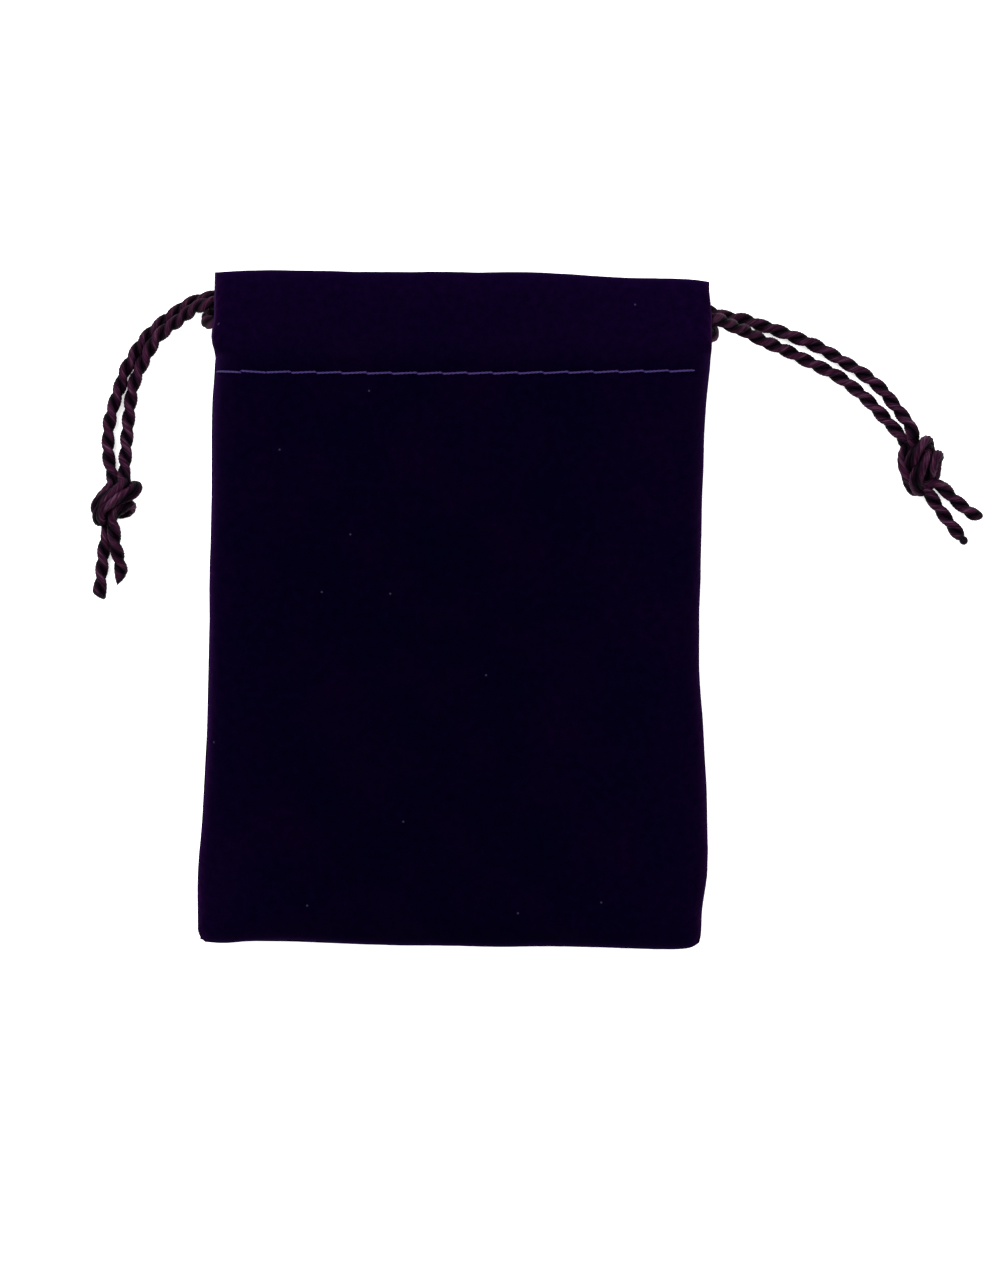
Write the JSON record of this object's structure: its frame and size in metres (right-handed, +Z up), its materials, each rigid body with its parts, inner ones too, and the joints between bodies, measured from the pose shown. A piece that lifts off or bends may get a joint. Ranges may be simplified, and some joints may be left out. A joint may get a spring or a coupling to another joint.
{
  "type": "drawstring dice bag",
  "caption": "Small flat velvet pouch with a stitched casing round its mouth and two twisted drawstrings, one leaving each side and knotted.",
  "frame": {"origin": "on the resting surface, under the middle of the cloth's outline, drawstrings not counted", "axes": "+Z up out of the front panel, +Y from the bottom seam to the mouth, +X to the viewer's right looking down at the front"},
  "size_m": [0.1364, 0.1031, 0.012],
  "materials": {
    "velvet": "dark purple velvet pile with sheen at grazing angles",
    "sewing_thread": "blue-violet polyester sewing thread",
    "satin_cord": "plum satin two-ply twisted cord, melted at the cut ends"
  },
  "bodies": {
    "bag": {"front_panel": "velvet", "back_panel": "velvet", "front_casing_needle_thread": "sewing_thread", "front_casing_bobbin_thread": "sewing_thread", "back_casing_needle_thread": "sewing_thread", "back_casing_bobbin_thread": "sewing_thread", "left_seam_needle_thread": "sewing_thread", "left_seam_bobbin_thread": "sewing_thread", "right_seam_needle_thread": "sewing_thread", "right_seam_bobbin_thread": "sewing_thread", "bottom_seam_needle_thread": "sewing_thread", "bottom_seam_bobbin_thread": "sewing_thread"},
    "left_string": {"left_string_run": "satin_cord", "left_string_front_tail": "satin_cord", "left_string_back_tail": "satin_cord", "left_string_knot": "satin_cord", "left_string_end_1": "satin_cord", "left_string_end_2": "satin_cord"},
    "right_string": {"right_string_run": "satin_cord", "right_string_front_tail": "satin_cord", "right_string_back_tail": "satin_cord", "right_string_knot": "satin_cord", "right_string_end_1": "satin_cord", "right_string_end_2": "satin_cord"}
  },
  "joints": [
    {"name": "left_draw", "type": "slide", "parent": "bag", "child": "left_string", "axis": [-1, 0, 0], "range_m": [0, 0.025], "deforming": ["front_panel", "back_panel", "front_casing_needle_thread", "front_casing_bobbin_thread", "back_casing_needle_thread", "back_casing_bobbin_thread", "right_seam_needle_thread", "right_seam_bobbin_thread", "left_string_run"]},
    {"name": "right_draw", "type": "slide", "parent": "bag", "child": "right_string", "axis": [1, 0, 0], "range_m": [0, 0.025], "deforming": ["front_panel", "back_panel", "front_casing_needle_thread", "front_casing_bobbin_thread", "back_casing_needle_thread", "back_casing_bobbin_thread", "left_seam_needle_thread", "left_seam_bobbin_thread", "right_string_run"]}
  ]
}
